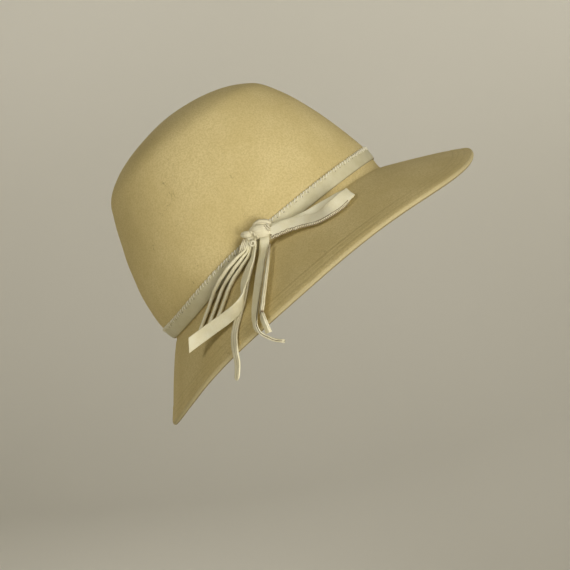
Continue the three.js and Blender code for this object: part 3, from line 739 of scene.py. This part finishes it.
def felt_part(columns=480, rim_rows=40, rows=92, edge_rows=12, rim_end=0.95, tip_gap=0.06):
    """Crown and brim in one wall. The outer face is the profile swept round, with its relief; the inner face
    lies a wall's thickness along the normal inside it, on fewer rows, and at the rim a half-round joins
    them, in line with the brim's slope."""
    near_rim = np.linspace(0, rim_end, rim_rows)
    above = np.linspace(rim_end, PROFILE_END - tip_gap, rows)[1:]
    outer, outer_normal = felt_rows(np.concatenate([near_rim, above]), columns)
    inner, inner_normal = felt_rows(np.concatenate([near_rim[::4], above[2::2]]), columns)
    from_rim, inner_run = run_up(outer), run_up(inner)

    plain = smooth(inner_run, FELT.hem_width, FELT.hem_width + FELT.hem_step)
    wall = FELT.hem_wall + (FELT.wall - FELT.hem_wall) * plain
    inner = inner - inner_normal * wall[..., None]
    outer = outer + outer_normal * felt_relief(outer, from_rim)[..., None]

    slope = unit(outer[0] - outer[4])
    turn = np.linspace(0, np.pi, edge_rows)[1:-1, None, None]
    across = (1 - np.cos(turn)) / 2
    edge = outer[0] * (1 - across) + inner[0] * across + slope * np.sin(turn) * FELT.hem_wall / 2
    edge_run = np.repeat(-EDGE_SPAN * across[:, :, 0], columns, axis=1)
    rings = np.concatenate([middle_ring(outer[-1]), outer[::-1], edge, inner, middle_ring(inner[-1])])
    inside = inner_run + INSIDE
    distance = np.concatenate([from_rim[-1:], from_rim[::-1], edge_run, inside, inside[-1:]])
    return pointed(worn(rings), {"from_rim": distance})


# The band and its overcast edge

def crown_at(azimuth, height, off):
    """Points at a height above the break, lifted off the felt along its normal."""
    place = place_at(azimuth, brim_at("sit", azimuth) + height)
    return felt_face(azimuth, place) + felt_normal(azimuth, place) * off[:, None]


def stitch_phase(azimuth):
    """Stitches counted round the hat: the length run along the band's upper edge, over the pitch, with a
    whole number of stitches in the round."""
    closed = np.append(azimuth, azimuth[0] + TURN)
    run = run_up(crown_at(closed, BAND.low + BAND.width, np.zeros(closed.size)))
    return run / run[-1] * round(run[-1] / STITCH.pitch)


def band_section(bends=5, flats=11, back_points=9):
    """Heights and offsets of the band's outline: up the outer face, which is domed and has a quarter round
    at both edges, and down the back."""
    edge, width = BAND.edge, BAND.width
    turn = np.radians(np.linspace(0, 90, bends))
    low_end = np.stack([edge * (1 - np.cos(turn)), edge * np.sin(turn) - edge], axis=1)
    flat = np.stack([np.linspace(edge, width - edge, flats + 2)[1:-1], np.zeros(flats)], axis=1)
    high_end = np.stack([width - low_end[::-1, 0], low_end[::-1, 1]], axis=1)
    front = np.vstack([low_end, flat, high_end])
    dome = BAND.dome * np.sin(np.pi * front[:, 0] / width)
    front_off = BAND.gap + BAND.thick + front[:, 1] + dome
    back = np.linspace(width, 0, back_points)
    return np.concatenate([front[:, 0], back]), np.concatenate([front_off, np.full(back.size, BAND.gap)])


def band_part(columns=1800):
    """A strip round the foot of the crown: its outline carried round the hat. The upper edge rises into a
    small scallop at each stitch and is drawn in between them, and the lower edge is darkened with painted
    shade where it meets the felt."""
    azimuth = np.pi / 2 + np.arange(columns) * TURN / columns
    phase = stitch_phase(azimuth)
    heights, offs = band_section()
    section, width = heights.size, BAND.width
    scallop = BAND.scallop * (np.abs(np.sin(np.pi * phase[:-1])) - BAND.scallop_level)
    near_edge = smooth(heights, width - BAND.scallop_run, width)
    height = BAND.low + heights + near_edge * scallop[:, None]
    pucker = BAND.pucker * near_edge * np.cos(TURN * phase[:-1, None]) * (offs > BAND.gap)
    points = crown_at(np.repeat(azimuth, section), height.ravel(), (offs - pucker).ravel())
    down = width - np.append(heights, heights[0])
    spots = np.stack(np.broadcast_arrays(phase[:, None], down), axis=-1)
    return {
        "points": worn(points),
        "faces": grid_faces(columns, section, close_rows=True),
        "map": grid_map(spots, columns, section),
        # Painted shade along the lower edge, where the band meets the felt.
        "shade": np.tile(BAND.soil * bell(heights, BAND.soil_width), columns),
    }


def tube_part(paths, radius, sides=6, tip=0.1):
    """One part from tubes of one thickness along many paths: rings round each path, square to its tangent,
    that shrink to a tip at both ends. The rings start from a direction that no path follows."""
    tangent = unit(np.gradient(paths, axis=1))
    aside = unit(np.cross(tangent, [0.31, 0.87, 0.38]))
    over = np.cross(tangent, aside)
    angle = np.arange(sides) * TURN / sides
    count, rows = paths.shape[:2]
    size = np.full(rows, radius)
    size[[0, -1]] = radius * tip
    ring = aside[:, :, None] * np.cos(angle)[:, None] + over[:, :, None] * np.sin(angle)[:, None]
    points = paths[:, :, None] + ring * size[:, None, None]

    cap = np.arange(sides)
    caps = np.stack([np.zeros(sides, int), cap, np.roll(cap, -1), np.zeros(sides, int)], axis=1)[1:-1]
    faces = np.vstack([grid_faces(rows, sides), caps[:, ::-1], caps + (rows - 1) * sides])
    starts = np.arange(count)[:, None, None] * rows * sides
    return {"points": points.reshape(-1, 3), "faces": (faces[None] + starts).reshape(-1, 4)}


def band_stitch_part(samples=4000, rows=9):
    """Overcast stitches: each thread comes out of its hole, lies slanting up the band's face and dips over
    the upper edge. Each starts, slants and bites a little differently."""
    fine = np.pi / 2 + np.linspace(0, TURN, samples, endpoint=False)
    phase = stitch_phase(fine)
    count = int(round(phase[-1]))
    steps = np.linspace(0, 1, rows)
    draw = np.random.default_rng(STITCH_UNEVEN.seed)
    starts, slants, bites = draw.uniform(-1, 1, (3, count, 1))
    slant = STITCH.slant * (1 + STITCH_UNEVEN.slant * slants)
    stitch = np.arange(count)[:, None] + 0.5 + STITCH_UNEVEN.start * starts + slant * steps
    azimuth = np.interp(stitch.ravel(), phase, np.append(fine, fine[0] + TURN))
    bite = STITCH.bite * (1 + STITCH_UNEVEN.bite * bites)
    rise, over = (np.interp(steps, STITCH_RISE["along"], STITCH_RISE[name]) for name in ("bite", "over"))
    off = BAND.gap + BAND.thick + np.interp(steps, STITCH_OFF["along"], STITCH_OFF["off"])
    height = BAND.low + BAND.width + (rise * bite + over)
    path = worn(crown_at(azimuth, height.ravel(), np.tile(off, count)))
    return tube_part(path.reshape(count, rows, 3), STITCH.thread)


# Straps, rolls and the knot

def carried(rows, steps):
    """A path and the frame carried along it: points that stand off the felt's right face at each row and run
    smoothly between the rows, the tangent, the direction of the strap's width, slanted by lean and turned
    out of the side view by turn, and the direction through it."""
    last = len(rows["x"]) - 1
    place = np.linspace(0, last, last * steps + 1)
    value = {name: catmull(column, place) for name, column in rows.items()}
    off_felt = catmull(right_face(rows["x"], rows["z"]) - rows["lift"], place)
    middle = np.stack([value["x"], off_felt, value["z"]], axis=-1)
    tangent = unit(np.gradient(middle, axis=0))
    lean, turn = np.radians(value["lean"]), np.radians(value["turn"])
    across = np.stack([np.cos(lean) * np.cos(turn), -np.sin(turn), np.sin(lean) * np.cos(turn)], axis=-1)
    across = unit(across - tangent * np.einsum("ij,ij->i", across, tangent)[:, None])
    return middle, tangent, across, np.cross(tangent, across), value


def layered_section(slit, faces=15, bends=7):
    """The outline of two layers of leather laid together: flat faces, and at each side two half-rounds that
    meet in a slit, or one half-round where the slit is none. It gives the share of half the width, inset and
    height as shares of half the thickness, and how deep in the slit a point lies."""
    turn = np.radians(np.linspace(90, -90, bends))
    upper = np.stack([0.5 * (1 - np.cos(turn)), 0.5 + 0.5 * np.sin(turn)], axis=1)
    lower = np.stack([upper[::-1, 0], -upper[::-1, 1]], axis=1)[1:]
    double = np.vstack([upper, lower])
    double[:, 0] += SLIT.depth * bell(double[:, 1], SLIT.width)
    full_turn = np.radians(np.linspace(90, -90, len(double)))
    single = np.stack([1 - np.cos(full_turn), np.sin(full_turn)], axis=1)
    side = single * (1 - slit) + double * slit
    dark = slit * bell(side[:, 1], SLIT.dark)
    flat = np.linspace(-1, 1, faces + 2)[1:-1]
    flat_inset = np.full(faces, 1 - 0.5 * slit)
    share = np.concatenate([flat, np.ones(len(side)), -flat, -np.ones(len(side))])
    inset = np.concatenate([flat_inset, side[:, 0], flat_inset, side[:, 0]])
    height = np.concatenate([np.ones(faces), side[:, 1], -np.ones(faces), -side[:, 1]])
    depth = np.concatenate([np.zeros(faces), dark, np.zeros(faces), dark])
    return share, inset, height, depth


def strap_part(rows, seed, thick=1.5, slit=0, ridges=0, slant=0, rounding=0, kink=None,
               root=0, sunk=0, hollow=None):
    """A strap of two layers along its rows: the layered section carried along the path, with faces a little
    domed, or pressed into lengthwise ridges, and a gentle unevenness. The far end may be cut at a slant, by
    an angle, or rounded off over a length, and a kink pinches the strap at a place in its rows. Painted
    shade darkens it in slits, in ridges' valleys and at kinks, and may at its root, towards the felt if it
    stands on edge, and in a hollow where it turns from the light."""
    middle, tangent, across, through, value = carried(rows, STRAP.steps)
    share, inset, height, depth = layered_section(slit)
    to_end = run_up(middle[::-1])[::-1]
    half_width = value["width"] / 2
    if rounding:
        half_width = half_width * np.sqrt(1 - np.clip(1 - to_end / rounding, 0, STRAP.blunt) ** 2)
    pinch = np.zeros(len(middle))
    if kink is not None:
        pinch = bell(to_end - to_end[int(kink * STRAP.steps)], STRAP.kink_length)
    half_width = (half_width * (1 - STRAP.kink_waist * pinch))[:, None]
    fullest = value["width"].max()
    half_thick = (thick / 2 * value["width"] / fullest * (1 - STRAP.kink_thin * pinch))[:, None]

    crease = 0.5 - 0.5 * np.cos(np.pi * (ridges * (share + 1) + 1)) if ridges else np.zeros_like(share)
    crease = crease * (np.abs(height) == 1)
    aside = share * (half_width - inset * np.minimum(half_thick, half_width))
    over = height * half_thick * (1 + STRAP.dome * (1 - share ** 2) - STRAP.ridge * crease)
    points = middle[:, None] + across[:, None] * aside[..., None] + through[:, None] * over[..., None]
    near_end = np.clip(1 - to_end / STRAP.slant_run, 0, 1)[:, None]
    cut = aside * np.tan(np.radians(slant)) * near_end ** 2
    points = points + tangent[:, None] * cut[..., None]
    uneven = STRAP.uneven * ripple(points, STRAP.uneven_length, seed)
    points = points + through[:, None] * uneven[..., None]

    # Painted shade: in slits and ridges' valleys, at kinks, at the root, towards the felt and in a hollow.
    rooted = root * (1 - smooth(to_end[0] - to_end, 0, STRAP.root_run))
    hollowed = np.zeros(len(middle))
    if hollow is not None:
        place = np.linspace(0, len(rows["x"]) - 1, len(middle))
        hollowed = hollow.tone * bell(place - hollow.row, hollow.spread)
    grooves = STRAP.slit_tone * depth + STRAP.ridge_tone * crease
    round_about = np.maximum(grooves, sunk * smooth(-share, *STRAP.sunk_run))
    lengthwise = np.max([STRAP.kink_tone * pinch, rooted, hollowed], axis=0)
    return capped(points, np.maximum(round_about, lengthwise[:, None]))


def seam_part(rows, first, inset, off, radius, tone):
    """A line of a whipped seam along a strap's lower edge, from one of its rows to the last: a bead that
    swells at each stitch, is drawn in and darkened with painted shade between them, and wanders more and
    more on its way. Its tone is painted shade along its whole length."""
    middle, _, across, through, value = carried(rows, SEAM.steps)
    start = first * SEAM.steps
    edge = value["width"][:, None] / 2 - inset
    path = (middle - across * edge - through * off)[start:]
    across, through = across[start:], through[start:]
    loose = smooth(np.linspace(0, 1, len(path)), *SEAM.loose)
    wander = SEAM.wobble * loose * ripple(path, SEAM.wobble_length, SEAM.wobble_seed)
    path = path + across * wander[:, None]
    swell = np.abs(np.sin(np.pi * run_up(path) / SEAM.pitch))
    angle = np.arange(SEAM.points) * TURN / SEAM.points
    reach = radius * (SEAM.waist + SEAM.swell * swell)[:, None]
    ring = across[:, None] * np.cos(angle)[:, None] + through[:, None] * np.sin(angle)[:, None]
    # Painted shade: the line's tone, and more between the stitches.
    shade = np.maximum(tone, SEAM.gap_tone * smooth(1 - swell, *SEAM.gap))
    return capped(path[:, None] + ring * reach[..., None], np.repeat(shade[:, None], angle.size, axis=1))


def roll_part(rows, seed, steps=14, points=36, pleats=5, fold=0.05, flank=0.35, deep=0.6, tone=0.1):
    """A roll of leather: a rounded section carried along its rows, with lengthwise pleats that wander a
    little as they go, and painted shade underneath, where it meets its neighbours, along the pleats' valleys
    and as a tone over all of it."""
    level = np.zeros_like(rows["x"])
    middle, _, across, through, value = carried({**rows, "turn": level}, steps)
    angle = (np.arange(points) + 0.5) * TURN / points
    place = np.linspace(0, 1, len(middle))[:, None]
    sway = ROLL.sway * np.sin(ROLL.sways * place + seed)
    wander = angle * pleats + ROLL.twist * place + sway
    pleat = 1 + fold * np.sin(wander)
    half_width, half_thick = value["width"][:, None] / 2, value["thick"][:, None] / 2
    aside = np.sign(np.cos(angle)) * np.abs(np.cos(angle)) ** ROLL.square * half_width * pleat
    over = np.sign(np.sin(angle)) * np.abs(np.sin(angle)) ** ROLL.square * half_thick * pleat
    rings = middle[:, None] + across[:, None] * aside[..., None] + through[:, None] * over[..., None]
    lengths = enumerate(zip(*WRINKLES.values()))
    wrinkle = sum(depth * ripple(rings, length, seed + k) for k, (length, depth) in lengths)
    rings = rings + wrinkle[..., None] * unit(rings - middle[:, None])
    # Painted shade: along the pleats' valleys, underneath, and a tone over all.
    facing = -(rings - middle[:, None])[..., 1] / half_thick
    between = ROLL.pleat_tone * fold * smooth(-np.sin(wander), ROLL.pleat_start, 1)
    below = deep * smooth(-facing, -flank, ROLL.flank_run - flank)
    return capped(rings, tone + (1 - tone) * np.maximum(between, below))


def fold_rows(fold):
    """Rows of one small fold of the knot: a straight run between its ends, arched off the felt and slimmer
    at both ends."""
    share = np.linspace(0, 1, FOLD.rows)
    arch = np.sin(np.pi * share)
    width = fold["width"] * (FOLD.tip + (1 - FOLD.tip) * arch)
    run, rise = fold["x_end"] - fold["x"], fold["z_end"] - fold["z"]
    return {
        "x": fold["x"] + run * share,
        "z": fold["z"] + rise * share,
        "lift": fold["lift"] - FOLD.arch * (1 - arch),
        "width": width,
        "thick": width,
        "lean": np.full(share.size, np.degrees(np.arctan2(rise, run)) + 90),
    }


def eye_rows():
    """Rows of the curl below the knot: a strip wound into a spiral of one turn and a quarter."""
    share = np.linspace(0, 1, EYE.rows)
    angle = np.radians(EYE.start + EYE.sweep * share)
    reach = EYE.radius + (EYE.inner - EYE.radius) * share
    width = np.full(share.size, EYE.strip)
    return {
        "x": EYE.x + reach * np.cos(angle),
        "z": EYE.z + reach * np.sin(angle),
        "lift": EYE.lift + EYE.rise * share,
        "width": width,
        "thick": width,
        "lean": np.degrees(angle),
    }


def knot_parts():
    """The knot: its main rolls, the small folds between them and the curl below."""
    rolls = [roll_part(rows, k, **KNOT_FORMS[name]) for k, (name, rows) in enumerate(KNOT_ROLLS.items())]
    folds = [dict(zip(FOLDS, row)) for row in zip(*FOLDS.values())]
    small = [
        roll_part(fold_rows(fold), FOLD.seed + k, tone=fold["tone"], **FOLD_FORM)
        for k, fold in enumerate(folds)
    ]
    return rolls + small + [roll_part(eye_rows(), EYE.seed, **EYE_FORM)]


def loop_parts():
    """The loop's strap and the lines of its whipped seam."""
    seams = [seam_part(LOOP, LOOP_NEAR, *seam) for seam in zip(*SEAMS.values())]
    return [strap_part(LOOP, LOOP_SEED, hollow=LOOP_HOLLOW), *seams]


# The pieces

leather = leather_finish()
piece("felt_hat", [felt_part()], felt_finish(), ["felt_body"])
piece("band_strip", [band_part()], band_finish(), ["hat_band"])
piece("band_stitches", [band_stitch_part()], thread_finish())
piece("bow_knot", knot_parts(), leather, ["knot"])
piece("loop_strap", loop_parts(), leather, ["bow_loop"])
for number, (node, rows) in enumerate(TAILS.items()):
    strap = strap_part(rows, TAIL_SEED + number, **STRAP_FORMS[node])
    piece(node.replace("tail_", "strap_"), [strap], leather, [node])


# Stage: a pale floor that curves up into a wall all round, soft lights and the camera

def backdrop():
    """A bowl: a flat floor out to the bend, a quarter round, and an upright wall, swept round the hat."""
    radius, bend, columns = BACKDROP.radius, BACKDROP.bend, BACKDROP.columns
    turn = np.radians(np.linspace(0, 90, BACKDROP.bend_rows))
    reach = np.concatenate([FLOOR_RINGS, radius - bend + bend * np.sin(turn), [radius]])[:, None]
    level = np.zeros(len(FLOOR_RINGS))
    rise = np.concatenate([level, bend - bend * np.cos(turn), [BACKDROP.height]])
    up = rise[:, None] + BACKDROP.floor
    angle = np.arange(columns) * TURN / columns
    rings = np.stack(np.broadcast_arrays(reach * np.cos(angle), reach * np.sin(angle), up), -1)
    faces = grid_faces(len(reach), columns).tolist() + [list(range(columns))[::-1]]
    mesh = bpy.data.meshes.new("backdrop")
    mesh.from_pydata(rings.reshape(-1, 3).tolist(), [], faces)
    mesh.polygons.foreach_set("use_smooth", np.ones(len(faces), bool))
    mesh.materials.append(wall_finish())
    made = placed("backdrop", mesh)


def lamp(name, place, size, power, aim=(0, 0, 0)):
    """A soft square light, aimed at a point and unseen by the camera."""
    data = bpy.data.lights.new(name, "AREA")
    data.shape = "SQUARE"
    data.size = size
    data.energy = power
    data.color = LAMP_TINT
    made = placed(name, data)
    made.location = place
    towards = np.subtract(aim, place)
    pitch = np.arctan2(np.hypot(towards[0], towards[1]), -towards[2])
    made.rotation_euler = (pitch, 0, np.arctan2(-towards[0], towards[1]))
    made.visible_camera = False


def camera():
    """A level camera on the wearer's right, square to the hat's side, at the photo's distance."""
    data = bpy.data.cameras.new("camera")
    data.sensor_width = CAMERA.sensor_mm
    data.lens = CAMERA.sensor_mm * CAMERA.focal_pixels / CAMERA.frame_pixels
    made = placed("camera", data)
    made.location = CAMERA.place
    made.rotation_euler = (np.pi / 2, 0, 0)
    bpy.context.scene.camera = made


backdrop()
for name, light in LAMPS.items():
    lamp(name, **light)
camera()

world = bpy.data.worlds.new("dark_room")
world.use_nodes = True
world.node_tree.nodes["Background"].inputs["Strength"].default_value = 0.0
bpy.context.scene.world = world
bpy.context.scene.view_settings.view_transform = "Standard"
